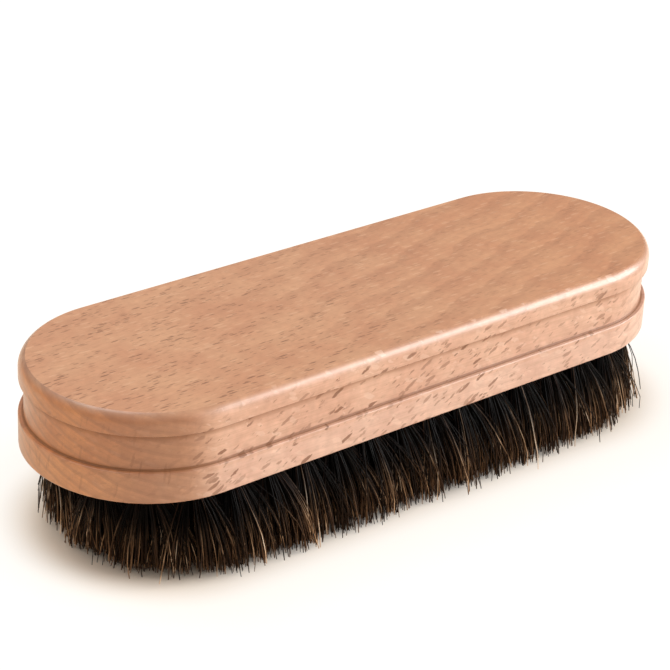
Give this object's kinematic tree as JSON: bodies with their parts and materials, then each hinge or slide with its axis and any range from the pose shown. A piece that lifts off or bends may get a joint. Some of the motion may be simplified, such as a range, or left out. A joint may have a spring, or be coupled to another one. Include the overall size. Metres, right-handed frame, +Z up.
{
  "type": "leather cleaning brush",
  "caption": "Hand brush for leather: a round-ended wooden block with a routed finger groove and a field of dark bristle tufts trimmed flat.",
  "frame": {"origin": "middle of the brush's length and width, in the plane of its trimmed bristle tips", "axes": "+X along the block's length, +Y across its width, +Z up from the bristle tips to the block's flat top"},
  "size_m": [0.15, 0.05, 0.037],
  "materials": {
    "beech": "fine sanded and clear sealed, with a low satin sheen",
    "horsehair": "dark brown natural hair with a soft gloss along its length"
  },
  "bodies": {
    "root": {"handle_block": "beech", "tuft_outer_01": "horsehair", "tuft_outer_02": "horsehair", "tuft_outer_03": "horsehair", "tuft_outer_04": "horsehair", "tuft_outer_05": "horsehair", "tuft_outer_06": "horsehair", "tuft_outer_07": "horsehair", "tuft_outer_08": "horsehair", "tuft_outer_09": "horsehair", "tuft_outer_10": "horsehair", "tuft_outer_11": "horsehair", "tuft_outer_12": "horsehair", "tuft_outer_13": "horsehair", "tuft_outer_14": "horsehair", "tuft_outer_15": "horsehair", "tuft_outer_16": "horsehair", "tuft_outer_17": "horsehair", "tuft_outer_18": "horsehair", "tuft_outer_19": "horsehair", "tuft_outer_20": "horsehair", "tuft_outer_21": "horsehair", "tuft_outer_22": "horsehair", "tuft_outer_23": "horsehair", "tuft_outer_24": "horsehair", "tuft_outer_25": "horsehair", "tuft_outer_26": "horsehair", "tuft_outer_27": "horsehair", "tuft_outer_28": "horsehair", "tuft_outer_29": "horsehair", "tuft_outer_30": "horsehair", "tuft_outer_31": "horsehair", "tuft_outer_32": "horsehair", "tuft_outer_33": "horsehair", "tuft_outer_34": "horsehair", "tuft_outer_35": "horsehair", "tuft_outer_36": "horsehair", "tuft_outer_37": "horsehair", "tuft_outer_38": "horsehair", "tuft_inner_01": "horsehair", "tuft_inner_02": "horsehair", "tuft_inner_03": "horsehair", "tuft_inner_04": "horsehair", "tuft_inner_05": "horsehair", "tuft_inner_06": "horsehair", "tuft_inner_07": "horsehair", "tuft_inner_08": "horsehair", "tuft_inner_09": "horsehair", "tuft_inner_10": "horsehair", "tuft_inner_11": "horsehair", "tuft_inner_12": "horsehair", "tuft_inner_13": "horsehair", "tuft_inner_14": "horsehair", "tuft_inner_15": "horsehair", "tuft_inner_16": "horsehair", "tuft_inner_17": "horsehair", "tuft_inner_18": "horsehair", "tuft_inner_19": "horsehair", "tuft_inner_20": "horsehair"}
  },
  "joints": []
}
